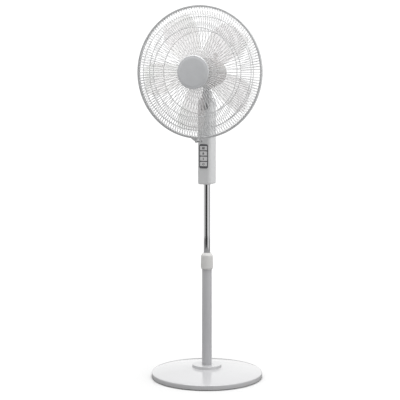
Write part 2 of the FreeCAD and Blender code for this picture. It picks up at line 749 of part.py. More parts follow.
def clutch_shaft():
    """Hollow upright shaft with the pinion at its foot."""
    def shape():
        pinion = toothed(10, 2.9, 4.4, 0.95, 0.4, 5.0, 0.0)
        pinion.translate(V(0, 0, -26.8))
        shaft = Part.makeCylinder(3.5, 42, V(0, 0, -21.8))
        shaft = shaft.fuse(Part.makeCylinder(3.5, 2.8, V(0, 0, -29.6)))
        shaft = shaft.fuse(pinion).cut(Part.makeCylinder(2.3, 42, V(0, 0, -21)))
        shaft.translate(V(value("clutch_axis_x"), value("gear_axis_y"), value("head_height")))
        return shaft
    copied(shape, "clutch_shaft")


def crank_gear():
    """Large gear of the swing drive with its crank below the case."""
    def shape():
        gear = toothed(40, 14.1, 15.5, 0.95, 0.4, 4.2, 4.5)
        gear.translate(V(0, 0, -26.4))
        axle = Part.makeCylinder(4.0, 28, V(0, 0, -50.4))
        throw = value("crank_throw")
        arm = Part.makeCylinder(5.5, 3.2, V(0, 0, -53.4))
        arm = arm.fuse(Part.makeCylinder(4.2, 3.2, V(-throw, 0, -53.4)))
        pin = Part.makeCylinder(2.0, 2.4, V(-throw, 0, -55.8))
        made = gear.fuse(axle).fuse(arm).fuse(pin)
        made.translate(V(value("crank_axis_x"), value("gear_axis_y"), value("head_height")))
        return made
    copied(shape, "crank_gear")


def crank_link():
    """Flat link from the crank to the fixed pin on the neck."""
    length = "gear_axis_y"
    level = "head_height - 59.4"
    bar = box("link_axis_x", f"({length}) / 2", level, 4.0, length, 3)
    eyes = [rod(4.2, 3, "link_axis_x", y, level) for y in ("0", length)]
    hole = rod(2.05, 12, "link_axis_x", 0, "head_height - 64")
    far_hole = rod(2.3, 12, "link_axis_x", length, "head_height - 64")
    finish(cut(fuse(bar, *eyes), hole, far_hole), "crank_link")


def swing_knob():
    """Push-pull swing knob on its rod."""
    stem = rod(2.0, 66, "clutch_axis_x", "gear_axis_y", "head_height - 16")
    cap = padded(rounded_outline("13", "13", "6.4"), 15, x="clutch_axis_x", y="gear_axis_y",
                 z="head_height + 50")
    flare = rod(8.5, 4, "clutch_axis_x", "gear_axis_y", "head_height + 62")
    finish(fuse(stem, cap, flare), "swing_knob")


# ---------------------------------------------------------------- propeller
BLADES = 5
FIRST_BLADE = 48.0


def blade_section(radius, chord, pitch, lead, camber, thickness):
    """One closed blade section square to its radius: chord, pitch and lead set where it lies."""
    count = 8
    upper = []
    lower = []
    for k in range(count + 1):
        along = (k / count - 0.5) * chord
        bow = camber * (1 - (2 * k / count - 1) ** 2)
        half = thickness / 2 * (0.35 + 0.65 * math.sin(math.pi * k / count))
        for rail, rise in ((upper, bow + half), (lower, bow - half)):
            side = along * math.cos(pitch) - rise * math.sin(pitch)
            back = along * math.sin(pitch) + rise * math.cos(pitch)
            rail.append(V(radius, back + value("blade_middle"), side + lead))
    top = Part.BSplineCurve()
    top.interpolate(upper)
    under = Part.BSplineCurve()
    under.interpolate(lower[::-1])
    return Part.Wire([top.toShape(), Part.LineSegment(upper[-1], lower[-1]).toShape(),
                      under.toShape(), Part.LineSegment(lower[0], upper[0]).toShape()])


def fan_blade():
    """Five-bladed propeller moulded in one with its hub."""
    def shape():
        tip = value("blade_tip")
        hub = value("hub_radius")
        sections = [
            (hub - 3, 52, 40, -4, 3.0, 3.0), (hub + 30, 80, 33, -4, 5.0, 2.6),
            (hub + 75, 106, 26, -6, 7.0, 2.4), (hub + 120, 118, 20, -10, 6.0, 2.2),
            (tip - 18, 104, 15, -13, 5.0, 2.0), (tip - 4, 78, 14, -16, 3.0, 1.8),
        ]
        wires = [blade_section(r, c, -math.radians(p), s, b, t) for r, c, p, s, b, t in sections]
        blade = Part.makeLoft(wires, True, False)
        blades = []
        for k in range(BLADES):
            one = blade.copy()
            one.rotate(V(0, 0, 0), V(0, 1, 0), -(FIRST_BLADE + 360.0 * k / BLADES))
            blades.append(one)
        cup = Part.makeCylinder(hub, 36, V(0, -98, 0), V(0, 1, 0))
        cup = cup.cut(Part.makeCylinder(hub - 2.4, 33.6, V(0, -95.6, 0), V(0, 1, 0)))
        cup = cup.fuse(Part.makeCylinder(8, 36, V(0, -98, 0), V(0, 1, 0)))
        made = cup.multiFuse(blades)
        made = made.cut(Part.makeCylinder(hub - 2.4, 60, V(0, -95.6, 0), V(0, 1, 0)).cut(
            Part.makeCylinder(8, 36, V(0, -98, 0), V(0, 1, 0))))
        made = made.cut(Part.makeCylinder(value("shaft_radius") + 0.03, 60, V(0, -110, 0), V(0, 1, 0)))
        made = made.cut(Part.makeBox(20, 3.2, 3.2, V(-10, -62.6, -1.6)))
        made.translate(V(0, 0, value("head_height")))
        return made
    copied(shape, "fan_blade")


def blade_nut():
    """Left-hand nut that holds the propeller on."""
    knob = turned([
        ("shaft_radius + 0.02", "-98.1"), ("17", "-98.1"), ("17", "-105"), ("13", "-114"),
        ("0", "-115"), ("0", "-110.5"), ("shaft_radius + 0.02", "-110.5"),
    ], flat=True)
    grips = [rod(2.4, 30, x, -120, f"head_height + {z}", ALONG_Y)
             for x, z in round_places(8, "18.6")]
    finish(cut(knob, *grips), "blade_nut")


# ---------------------------------------------------------------- cage
LONG_WIRES = 72


class WireLine:
    """The middle line of a cage wire in the (radius, y) half plane: arcs given by radius and sweep,
    and straight runs given by length and 0, that follow on smoothly. It bends towards +Y when bend
    is 1 and towards -Y when it is -1. The short wires begin at the part numbered short_start."""

    def __init__(self, start, heading, bend, parts, short_start):
        self.bend = bend
        self.short_start = short_start
        self.steps = []
        spot = V(start[0], start[1], 0)
        for size, sweep in parts:
            self.steps.append((spot, heading, size, sweep))
            if sweep:
                centre = spot + self.inward(heading) * size
                heading += bend * sweep
                spot = centre - self.inward(heading) * size
            else:
                spot = spot + self.onward(heading) * size

    def onward(self, heading):
        """The direction of the line at a heading."""
        return V(math.cos(math.radians(heading)), math.sin(math.radians(heading)), 0)

    def inward(self, heading):
        """The direction square to the line at a heading, on the side that it bends to."""
        return V(-math.sin(math.radians(heading)), math.cos(math.radians(heading)), 0) * self.bend

    def solid(self, first_part, radius):
        """A round wire along the line, from one of its parts to its end."""
        pieces = []
        for start, heading, size, sweep in self.steps[first_part:]:
            disc = Part.Face(Part.Wire(Part.Circle(start, self.onward(heading), radius).toShape()))
            if sweep:
                centre = start + self.inward(heading) * size
                pieces.append(disc.revolve(centre, V(0, 0, self.bend), sweep))
            else:
                pieces.append(disc.extrude(self.onward(heading) * size))
        return pieces[0].multiFuse(pieces[1:])

    def ring(self, radius, wire):
        """A ring that just meets the wires on the cage's inner side, where they pass a radius."""
        start, heading, size, sweep = [step for step in self.steps if step[0].x <= radius][-1]
        inward = self.inward(heading)
        foot = start + self.onward(heading) * ((radius - start.x) / math.cos(math.radians(heading)))
        if sweep:
            centre = start + inward * size
            across = (radius - centre.x) / size
            inward = V(-across, self.bend * math.sqrt(1 - across ** 2), 0)
            foot = centre - inward * size
        spot = foot + inward * (wire + value("wire_radius") + 0.03)
        return ring_at(spot.x, spot.y, wire)


FRONT_LINE = WireLine((50.0, -129.5), 6.14, 1, ((96.96, 0), (98.3, 45.36)), 1)
REAR_LINE = WireLine((47.0, -37.5), -4.0, -1, ((31.4, 0), (300, 5.4), (31.4, 0),
                                              (15.7, 0), (120, 10.0), (15.7, 0), (94, 16.85)), 3)


def ring_at(radius, y, wire):
    return Part.makeTorus(radius, wire, V(0, y, 0), V(0, 1, 0))


def cage_half(line, ring_radii, rim_y, label, extras=()):
    """Long and short wires in turn, with the rings they are welded to."""
    def shape():
        wires = []
        for first_part, shift in ((0, 0.0), (line.short_start, 0.5)):
            one = line.solid(first_part, value("wire_radius"))
            for k in range(LONG_WIRES):
                copy = one.copy()
                copy.rotate(V(0, 0, 0), V(0, 1, 0), (k + shift) * 360.0 / LONG_WIRES)
                wires.append(copy)
        rings = [line.ring(radius, value("ring_wire")) for radius in ring_radii]
        rings.append(ring_at(value("rim_ring"), value(rim_y), value("rim_wire")))
        made = Part.makeCompound(wires + rings + list(extras))
        made.translate(V(0, 0, value("head_height")))
        return made
    copied(shape, label)


def front_grille():
    """Front half of the cage."""
    cage_half(FRONT_LINE, (51.6, 146, 190), "rim_plane - 2.6", "front_grille")


def rear_grille():
    """Rear half of the cage, with the plate that sits on the motor."""
    plate = Part.makeCylinder(48, 1.6, V(0, -36.4, 0), V(0, 1, 0))
    plate = plate.cut(Part.makeCylinder(17.4, 10, V(0, -40, 0), V(0, 1, 0)))
    cage_half(REAR_LINE, (137, 184), "rim_plane + 2.6", "rear_grille", [plate])


def rear_grille_nut():
    """Plastic ring nut that holds the rear grille on the motor's nose."""
    finish(turned([
        ("17.04", "-36.5"), ("30", "-36.5"), ("30", "-40"), ("26", "-44"), ("17.04", "-44"),
    ], flat=True), "rear_grille_nut")


def grille_badge():
    """Round dished badge in the middle of the front grille."""
    finish(turned([
        ("0", "badge_face"), ("badge_radius - 7", "badge_face + 0.8", "-300"),
        ("badge_radius - 1.4", "badge_face + 2.2"), ("badge_radius", "badge_face + 3.6"),
        ("badge_radius", "badge_face + 5.2"), ("badge_radius - 1.8", "badge_face + 5.2"),
        ("badge_radius - 1.8", "badge_face + 4.2"), ("badge_radius - 7", "badge_face + 3.2"),
        ("0", "badge_face + 2.6"),
    ], flat=True), "grille_badge")


def grille_band():
    """Thin band that clamps the two rim wires, split at the bottom between two lugs."""
    ring = turned([
        ("cage_radius - 1.3", "rim_plane - 5.1"), ("cage_radius - 4", "rim_plane - 5.1"),
        ("cage_radius - 4", "rim_plane - 6.2"), ("cage_radius", "rim_plane - 6.2"),
        ("cage_radius", "rim_plane + 6.2"), ("cage_radius - 4", "rim_plane + 6.2"),
        ("cage_radius - 4", "rim_plane + 5.1"), ("cage_radius - 1.3", "rim_plane + 5.1"),
    ], flat=True)
    low = "head_height - cage_radius"
    lugs = [box(x, "rim_plane - 1", f"{low} - 13.5", 4.5, 9, 14.5) for x in ("-7.5", "7.5")]
    ramp = padded([("-9.6", f"{low} - 12"), ("-9.6", f"{low} + 0.5"), ("-26", f"{low} + 1.2")], 7,
                  "XZ_Plane", y="rim_plane + 2.5")
    gap = box(0, "rim_plane", f"{low} - 8", 10.5, 20, 20)
    hole = rod(2.1, 60, -30, "rim_plane - 1", f"{low} - 9.5", ALONG_X)
    head_room = rod(4.0, 25, -34.8, "rim_plane - 1", f"{low} - 9.5", ALONG_X)
    finish(cut(fuse(ring, ramp, *lugs), gap, hole, head_room), "grille_band")


def band_screw():
    """Screw that draws the band's lugs together."""
    low = "head_height - cage_radius - 9.5"
    finish(fuse(rod(2.0, 21.5, -10.5, "rim_plane - 1", low, ALONG_X),
                rod(3.6, 2.2, -12.1, "rim_plane - 1", low, ALONG_X)), "band_screw")


def band_nut():
    """Nut on the band's screw."""
    low = "head_height - cage_radius - 9.5"
    finish(sleeve(3.6, 2.02, 2.6, 9.85, "rim_plane - 1", low, ALONG_X), "band_nut")


# ---------------------------------------------------------------- build
base_cover()
base_ballast()
base_bottom_cover()
base_feet()
base_screws()
tube_socket()
socket_bolts()
lower_tube()
tube_insert()
tube_bolt()
collar_collet()
height_collar()
inner_tube()
tube_stop()
column_shell("column_front_shell", True)
column_shell("column_rear_shell", False)
tilt_fork()
mast_socket()
column_screws()
cord_gland()
panel_bezel()
for number, name in enumerate(("key_off", "key_low", "key_medium", "key_high")):
    speed_key(number, name)
switch_block()
capacitor()
tilt_neck()
tilt_bolt()
tilt_nut()
motor_front_cover()
motor_rear_cover()
front_bell()
rear_bell()
stator_core()
stator_windings()
bearing(-34.0, "front_bearing")
bearing(17.9, "rear_bearing")
motor_bolts()
motor_shaft()
rotor_core()
drive_pin()
gearbox_case()
gearbox_lid()
worm_wheel()
clutch_shaft()
crank_gear()
crank_link()
swing_knob()
fan_blade()
blade_nut()
front_grille()
rear_grille()
rear_grille_nut()
grille_badge()
grille_band()
band_screw()
band_nut()

doc.recompute()
for thing in doc.Objects:
    if "Invalid" in thing.State or "Error" in thing.State:
        raise ValueError(f"{thing.Name} failed: {thing.State}")
for thing in finished:
    if thing.Shape.isNull() or not thing.Shape.isValid() or not thing.Shape.Solids:
        raise ValueError(f"{thing.Label} has no valid shape")
for thing in finished:
    thing.Shape.exportStep(f"parts/{thing.Label}.step")
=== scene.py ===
import math

import bmesh
import bpy
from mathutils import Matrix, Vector


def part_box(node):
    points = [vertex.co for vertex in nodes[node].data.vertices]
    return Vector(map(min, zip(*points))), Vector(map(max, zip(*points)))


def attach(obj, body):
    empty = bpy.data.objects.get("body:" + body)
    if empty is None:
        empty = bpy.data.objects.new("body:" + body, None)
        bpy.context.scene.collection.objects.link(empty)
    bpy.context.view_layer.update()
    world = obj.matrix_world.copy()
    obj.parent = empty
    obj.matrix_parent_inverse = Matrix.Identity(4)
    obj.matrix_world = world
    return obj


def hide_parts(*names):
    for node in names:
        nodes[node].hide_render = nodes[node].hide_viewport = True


# Looks of a pedestal fan. The scene is in metres, +Z up, and the fan blows towards -Y.
# Sizes in MM are the drawn sizes of the pieces.

MM = 0.001
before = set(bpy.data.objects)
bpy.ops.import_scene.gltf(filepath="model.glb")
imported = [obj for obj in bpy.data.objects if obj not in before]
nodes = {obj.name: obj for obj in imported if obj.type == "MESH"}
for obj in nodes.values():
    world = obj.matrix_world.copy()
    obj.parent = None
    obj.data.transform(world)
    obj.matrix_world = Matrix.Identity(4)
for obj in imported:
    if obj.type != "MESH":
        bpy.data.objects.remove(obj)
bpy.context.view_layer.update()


# ---------------------------------------------------------------- places taken from the CAD
base_low, base_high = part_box("base_cover")
tube_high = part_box("lower_tube")[1]
collar_low, collar_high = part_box("height_collar")
mast_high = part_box("inner_tube")[1]
badge_low, badge_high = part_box("grille_badge")
band_low, band_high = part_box("grille_band")
HEAD = Vector((0.0, 0.0, band_high.z - band_high.x))
RIM = (band_low.y + band_high.y) / 2


# ---------------------------------------------------------------- material helpers
def shader_of(name):
    made = bpy.data.materials.new(name)
    made.use_nodes = True
    return made, made.node_tree, made.node_tree.nodes["Principled BSDF"]


def node(tree, kind, **settings):
    made = tree.nodes.new(kind)
    for key, value in settings.items():
        setattr(made, key, value)
    return made


def grain(tree, scale, detail=4.0, stretch=(1, 1, 1)):
    """Noise laid over the object's own coordinates."""
    place = node(tree, "ShaderNodeTexCoord")
    mapping = node(tree, "ShaderNodeMapping")
    mapping.inputs["Scale"].default_value = stretch
    noise = node(tree, "ShaderNodeTexNoise")
    noise.inputs["Scale"].default_value = scale
    noise.inputs["Detail"].default_value = detail
    noise.inputs["Roughness"].default_value = 0.5
    tree.links.new(place.outputs["Object"], mapping.inputs["Vector"])
    tree.links.new(mapping.outputs["Vector"], noise.inputs["Vector"])
    return noise.outputs["Fac"]


def ramp(tree, source, low, high, start=0.3, end=0.7):
    made = node(tree, "ShaderNodeValToRGB")
    made.color_ramp.elements[0].position = start
    made.color_ramp.elements[0].color = (*low, 1)
    made.color_ramp.elements[1].position = end
    made.color_ramp.elements[1].color = (*high, 1)
    tree.links.new(source, made.inputs["Fac"])
    return made.outputs["Color"]


def spread(tree, source, low, high):
    made = node(tree, "ShaderNodeMapRange")
    made.inputs["To Min"].default_value = low
    made.inputs["To Max"].default_value = high
    tree.links.new(source, made.inputs["Value"])
    return made.outputs["Result"]


def bump(tree, shader, source, strength, distance):
    made = node(tree, "ShaderNodeBump")
    made.inputs["Strength"].default_value = strength
    made.inputs["Distance"].default_value = distance
    tree.links.new(source, made.inputs["Height"])
    tree.links.new(made.outputs["Normal"], shader.inputs["Normal"])


def scaled(color, factor):
    return tuple(min(1.0, c * factor) for c in color)


def surface(name, color, roughness, vary=0.03, grain_scale=40, bump_scale=900, bump_depth=0.02,
            metallic=0.0, coat=0.0, stretch=(1, 1, 1), edge_highlight=0.0):
    """A moulded, painted or plated finish: slight mottling, uneven gloss, a fine texture and, when
    asked, a painted highlight that lightens its convex edges.
    """
    made, tree, shader = shader_of(name)
    shader.inputs["Metallic"].default_value = metallic
    shader.inputs["Coat Weight"].default_value = coat
    shader.inputs["Coat Roughness"].default_value = 0.06
    mottling = grain(tree, grain_scale)
    tint = ramp(tree, mottling, scaled(color, 1 - vary), scaled(color, 1 + vary))
    # Painted highlight: sharp convex edges, found by pointiness, are lightened towards 1.25 times the
    # colour.
    if edge_highlight:
        edge = node(tree, "ShaderNodeNewGeometry")
        rim = ramp(tree, edge.outputs["Pointiness"], (0, 0, 0), (edge_highlight, edge_highlight, edge_highlight), 0.52, 0.60)
        mix = node(tree, "ShaderNodeMix", data_type="RGBA")
        mix.inputs[7].default_value = (*scaled(color, 1.25), 1)
        tree.links.new(rim, mix.inputs[0])
        tree.links.new(tint, mix.inputs[6])
        tint = mix.outputs[2]
    tree.links.new(tint, shader.inputs["Base Color"])
    gloss = grain(tree, grain_scale * 2.3, 2.0)
    tree.links.new(spread(tree, gloss, roughness * 0.85, roughness * 1.15), shader.inputs["Roughness"])
    fine = grain(tree, bump_scale, 3.0, stretch)
    bump(tree, shader, fine, 0.25, bump_depth * MM)
    return made


# ---------------------------------------------------------------- materials
gloss_white = surface("gloss_white", (0.61, 0.61, 0.62), 0.13, 0.01, 25, 160, 0.03, coat=1.0)
tube_paint = surface("tube_paint", (0.56, 0.56, 0.575), 0.32, 0.015, 60, 700, 0.02)
# warm_white carries a painted highlight on its convex edges.
warm_white = surface("warm_white", (0.78, 0.775, 0.76), 0.42, 0.02, 80, 900, 0.03, edge_highlight=0.15)
column_grey = surface("column_grey", (0.80, 0.805, 0.81), 0.40, 0.015, 50, 1100, 0.03)
neck_grey = surface("neck_grey", (0.58, 0.58, 0.585), 0.42, 0.02, 50, 1100, 0.03)
motor_plastic = surface("motor_plastic", (0.46, 0.445, 0.43), 0.42, 0.02, 40, 900, 0.04)
chrome = surface("chrome", (0.80, 0.80, 0.81), 0.07, 0.01, 30, 60, 0.01, metallic=1.0,
                 stretch=(6, 6, 0.3))
# bezel_dark carries a painted highlight on its convex edges.
bezel_dark = surface("bezel_dark", (0.135, 0.135, 0.145), 0.25, 0.05, 90, 900, 0.01, coat=0.3, edge_highlight=0.2)
key_grey = surface("key_grey", (0.82, 0.82, 0.83), 0.30, 0.02, 120, 1200, 0.01, coat=0.2)
key_ink = surface("key_ink", (0.030, 0.030, 0.036), 0.45, 0.08, 300, 2500, 0.01)
badge_silver = surface("badge_silver", (0.71, 0.72, 0.735), 0.34, 0.025, 45, 1500, 0.02, metallic=0.10,
                       coat=0.15)
wire_paint = surface("wire_paint", (0.80, 0.805, 0.81), 0.30, 0.03, 200, 900, 0.02, coat=0.2)
band_paint = surface("band_paint", (0.60, 0.605, 0.61), 0.30, 0.02, 120, 900, 0.02, coat=0.2)
nut_grey = surface("nut_grey", (0.40, 0.40, 0.40), 0.38, 0.02, 90, 900, 0.02)
zinc_steel = surface("zinc_steel", (0.55, 0.55, 0.56), 0.28, 0.08, 400, 1200, 0.01, metallic=1.0)
ground_steel = surface("ground_steel", (0.58, 0.58, 0.59), 0.20, 0.05, 300, 2000, 0.01, metallic=1.0,
                       stretch=(1, 8, 1))
cast_alloy = surface("cast_alloy", (0.52, 0.52, 0.53), 0.45, 0.08, 120, 500, 0.08, metallic=0.9)
laminations = surface("laminations", (0.30, 0.30, 0.32), 0.40, 0.12, 200, 2200, 0.08, metallic=0.9,
                      stretch=(0.2, 6, 0.2))
copper_wire = surface("copper_wire", (0.50, 0.20, 0.08), 0.32, 0.15, 500, 1500, 0.12, metallic=0.9)
bronze = surface("bronze", (0.48, 0.32, 0.14), 0.38, 0.10, 600, 2500, 0.02, metallic=1.0)
nylon = surface("nylon", (0.62, 0.61, 0.57), 0.40, 0.03, 150, 900, 0.02)
black_plastic = surface("black_plastic", (0.028, 0.028, 0.030), 0.50, 0.15, 100, 900, 0.05)
rubber = surface("rubber", (0.022, 0.022, 0.022), 0.75, 0.20, 300, 1200, 0.10)
ballast_iron = surface("ballast_iron", (0.11, 0.11, 0.115), 0.60, 0.20, 80, 300, 0.20, metallic=0.6)
capacitor_case = surface("capacitor_case", (0.06, 0.065, 0.09), 0.30, 0.10, 120, 900, 0.02)


def blade_plastic():
    """Milky translucent plastic, tinted a little warmer and cooler from place to place."""
    made, tree, shader = shader_of("blade_plastic")
    tint = ramp(tree, grain(tree, 9, 1.0), (0.93, 0.88, 0.88), (0.90, 0.92, 0.86), 0.35, 0.65)
    tree.links.new(tint, shader.inputs["Base Color"])
    tree.links.new(spread(tree, grain(tree, 60, 2.0), 0.16, 0.24), shader.inputs["Roughness"])
    bump(tree, shader, grain(tree, 220, 2.0), 0.15, 0.04 * MM)
    shader.inputs["Alpha"].default_value = 0.26
    return made


blade_clear = blade_plastic()


# ---------------------------------------------------------------- mesh helpers
def soften(points, steps=6):
    """Corner points (x, y, radius) as a closed outline with rounded corners."""
    outline = []
    for i, (x, y, radius) in enumerate(points):
        corner = Vector((x, y))
        if radius <= 0:
            outline.append((x, y))
            continue
        before = Vector(points[i - 1][:2]) - corner
        after = Vector(points[(i + 1) % len(points)][:2]) - corner
        half = before.angle(after) / 2
        reach = min(radius / math.tan(half), 0.49 * before.length, 0.49 * after.length)
        before.normalize()
        after.normalize()
        centre = corner + (before + after).normalized() * (reach / math.cos(half))
        start = corner + before * reach - centre
        end = corner + after * reach - centre
        first = math.atan2(start.y, start.x)
        sweep = (math.atan2(end.y, end.x) - first + math.pi) % (2 * math.pi) - math.pi
        for k in range(steps + 1):
            angle = first + sweep * k / steps
            outline.append((centre.x + start.length * math.cos(angle),
                            centre.y + start.length * math.sin(angle)))
    return outline


def linked(name, mesh_maker, body, material, replaces=(), smooth=35):
    """A finished piece: its mesh cleaned, shaded, given its finish and set riding on a body."""
    mesh_maker.normal_update()
    bmesh.ops.remove_doubles(mesh_maker, verts=mesh_maker.verts, dist=1e-6)
    bmesh.ops.recalc_face_normals(mesh_maker, faces=mesh_maker.faces)
    mesh = bpy.data.meshes.new(name)
    mesh_maker.to_mesh(mesh)
    mesh_maker.free()
    mesh.shade_smooth()
    mesh.set_sharp_from_angle(angle=math.radians(smooth))
    mesh.materials.append(material)
    piece = bpy.data.objects.new(name, mesh)
    bpy.context.scene.collection.objects.link(piece)
    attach(piece, body)
    if replaces:
        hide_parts(*replaces)
    return piece


def lathe(outline, turns, flat=False, wave=None):
    """A closed outline of (radius, height) turned about Z, or about the fan's axis when flat."""
    made = bmesh.new()
    rings = []
    for k in range(turns):
        angle = 2 * math.pi * k / turns
        ring = []
        for radius, height in outline:
            r = radius + (wave(angle, radius, height) if wave else 0.0)
            if flat:
                spot = (r * math.cos(angle), height, HEAD.z + r * math.sin(angle))
            else:
                spot = (r * math.cos(angle), r * math.sin(angle), height)
            ring.append(made.verts.new(spot))
        rings.append(ring)
    count = len(outline)
    for one, other in zip(rings, rings[1:] + rings[:1]):
        for i in range(count):
            j = (i + 1) % count
            made.faces.new((one[i], one[j], other[j], other[i]))
    bmesh.ops.remove_doubles(made, verts=made.verts, dist=1e-7)
    bmesh.ops.dissolve_degenerate(made, edges=made.edges, dist=1e-7)
    return made


def tube(made, points, radius, sides, closed=False):
    """A round wire along points, added to a mesh."""
    count = len(points)
    rings = []
    side = None
    for i, point in enumerate(points):
        ahead = points[(i + 1) % count] if closed or i < count - 1 else point
        behind = points[i - 1] if closed or i else point
        along = (ahead - behind).normalized()
        if side is None:
            side = along.orthogonal().normalized()
        side = (side - along * side.dot(along)).normalized()
        up = along.cross(side)
        rings.append([made.verts.new(point + (side * math.cos(a) + up * math.sin(a)) * radius)
                      for a in (2 * math.pi * k / sides for k in range(sides))])
    links = list(zip(rings, rings[1:] + rings[:1])) if closed else list(zip(rings, rings[1:]))
    for one, other in links:
        for k in range(sides):
            made.faces.new((one[k], one[(k + 1) % sides], other[(k + 1) % sides], other[k]))
    if not closed:
        made.faces.new(list(reversed(rings[0])))
        made.faces.new(rings[-1])


def prism(outline, low, high, to_world, rim, steps=4):
    """A flat outline pushed from low to high, with its top edge rounded by rim."""
    made = bmesh.new()
    loops = [(0.0, low)]
    for k in range(steps + 1):
        angle = math.pi / 2 * k / steps
        loops.append((rim * (1 - math.cos(angle)), high - rim * (1 - math.sin(angle))))
    centre = sum((Vector(p) for p in outline), Vector((0, 0))) / len(outline)
    rings = []
    for inset, level in loops:
        ring = []
        for p in outline:
            out = Vector(p) - centre
            pulled = centre + Vector((shrink(out.x, inset), shrink(out.y, inset)))
            ring.append(made.verts.new(to_world(pulled.x, pulled.y, level)))
        rings.append(ring)
    count = len(outline)
    for one, other in zip(rings, rings[1:]):
        for i in range(count):
            j = (i + 1) % count
            made.faces.new((one[i], one[j], other[j], other[i]))
    made.faces.new(rings[0])
    made.faces.new(rings[-1])
    return made


def shrink(length, inset):
    return math.copysign(max(0.0, abs(length) - inset), length)


def rounded_rectangle(wide, high, corner, x, y, steps):
    w, h = wide / 2, high / 2
    return soften([(x - w, y - h, corner), (x + w, y - h, corner), (x + w, y + h, corner),
                   (x - w, y + h, corner)], steps)


def facing_front(y):
    """Places an outline drawn as seen from the front, with its level counted towards the viewer."""
    return lambda a, b, level: Vector((a, y - level, b))


# ---------------------------------------------------------------- CAD pieces shown as they are
def show_cad(name, material):
    """A CAD piece with its finish, smooth where it is round and sharp at its edges."""
    shown = nodes[name]
    shown.data.materials.clear()
    shown.data.materials.append(material)
    shown.data.shade_smooth()
    weld = shown.modifiers.new("weld", "WELD")
    weld.merge_threshold = 2e-6
    split = shown.modifiers.new("creases", "EDGE_SPLIT")
    split.split_angle = math.radians(32)


CAD_FINISHES = {
    "base_ballast": ballast_iron, "base_bottom_cover": black_plastic, "base_feet": rubber,
    "base_screws": zinc_steel, "tube_socket": zinc_steel, "socket_bolts": zinc_steel,
    "tube_insert": zinc_steel, "tube_bolt": zinc_steel, "collar_collet": nylon,
    "tube_stop": nylon, "column_front_shell": column_grey, "column_rear_shell": column_grey,
    "tilt_fork": column_grey, "mast_socket": black_plastic, "column_screws": zinc_steel,
    "cord_gland": rubber, "switch_block": black_plastic, "capacitor": capacitor_case,
    "tilt_neck": neck_grey, "tilt_bolt": zinc_steel, "tilt_nut": zinc_steel,
    "motor_front_cover": motor_plastic, "motor_rear_cover": motor_plastic,
    "front_bell": cast_alloy, "rear_bell": cast_alloy, "stator_core": laminations,
    "stator_windings": copper_wire, "front_bearing": bronze, "rear_bearing": bronze,
    "motor_bolts": zinc_steel, "motor_shaft": ground_steel, "rotor_core": laminations,
    "drive_pin": ground_steel, "gearbox_case": black_plastic, "gearbox_lid": black_plastic,
    "worm_wheel": nylon, "clutch_shaft": ground_steel, "crank_gear": nylon,
    "crank_link": zinc_steel, "swing_knob": warm_white, "rear_grille_nut": nut_grey,
    "grille_band": band_paint, "band_screw": zinc_steel, "band_nut": zinc_steel,
    "blade_nut": nut_grey, "panel_bezel": bezel_dark,
}
for cad_name, finish in CAD_FINISHES.items():
    show_cad(cad_name, finish)


# ---------------------------------------------------------------- stand
def base():
    """Glossy base moulding."""
    skin = 2.4 * MM
    radius = base_high.x
    foot = base_low.z
    top = base_high.z
    band_top = foot + 15.2 * MM
    dome_low = foot + 17 * MM
    dome_high = foot + 32 * MM
    dome_rim = radius - 4 * MM
    boss = 50 * MM
    boss_foot = 51.5 * MM
    hole = tube_high.x + 0.4 * MM

    def dome(start, end, drop):
        spots = []
        for k in range(1, 16):
            r = start + (end - start) * k / 16
            level = dome_high + (dome_low - dome_high) * (r ** 2 - boss_foot ** 2) \
                / (dome_rim ** 2 - boss_foot ** 2)
            spots.append((r, level - drop, 0))
        return spots

    outline = [(radius - skin, foot, 0.3 * MM), (radius, foot, 0.5 * MM),
               (radius, band_top, 4.0 * MM)]
    outline += dome(radius - 6 * MM, boss_foot, 0.0)
    outline += [(boss_foot, dome_high, 0.8 * MM), (boss, top, 1.4 * MM), (hole, top, 0.4 * MM),
                (hole, top - skin, 0), (boss - skin, top - skin, 1 * MM)]
    outline += [(boss_foot - skin, dome_high - skin, 0.6 * MM)]
    outline += dome(boss_foot, radius - 6 * MM, skin)
    outline += [(radius - skin, foot + 10 * MM, 1.5 * MM)]
    linked("base_cover_look", lathe(soften(outline, 5), 192), "stand", gloss_white,
           ["base_cover"], 30)


def plain_tube(name, node_name, wall, body, material):
    """A drawn tube with its ends eased."""
    low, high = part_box(node_name)
    r = high.x
    outline = soften([(r - wall, low.z, 0.3 * MM), (r, low.z, 0.4 * MM), (r, high.z, 0.4 * MM),
                      (r - wall, high.z, 0.3 * MM)], 3)
    linked(name, lathe(outline, 96), body, material, [node_name])


def collar():
    """Ribbed height collar."""
    low, high = collar_low.z, collar_high.z
    belly = collar_high.x
    bore = mast_high.x + 0.5 * MM
    ribs = 30

    def wave(angle, radius, height):
        share = (height - low - 4 * MM) / (high - low - 13 * MM)
        if radius < 18 * MM or not 0 < share < 1:
            return 0.0
        fade = min(1.0, 6 * share, 6 * (1 - share))
        return -0.55 * MM * fade * max(0.0, math.cos(ribs * angle)) ** 3

    outside = [(belly - 2.6 * MM, low, 0.6 * MM), (belly - 0.2 * MM, low + 4.6 * MM, 1.2 * MM)]
    for k in range(9):
        share = k / 8
        outside.append((belly - (0.2 + 1.2 * share ** 2) * MM, low + (6 + 41 * share) * MM, 0))
    outside += [(belly - 1.8 * MM, high - 8 * MM, 1.2 * MM), (bore + 1.5 * MM, high, 0.8 * MM),
                (bore, high, 0.2 * MM), (bore, high - 5 * MM, 0),
                (13.7 * MM, high - 7 * MM, 0), (17.6 * MM, high - 21.5 * MM, 0), (17.6 * MM, low, 0)]
    linked("height_collar_look", lathe(soften(outside, 4), 360, wave=wave), "collar", warm_white,
           ["height_collar"], 40)


# ---------------------------------------------------------------- key panel
def pressed(made, y):
    """Ink strokes pressed flat against a face."""
    for corner in made.verts:
        corner.co.y = y + (corner.co.y - y) * 0.3
    return made


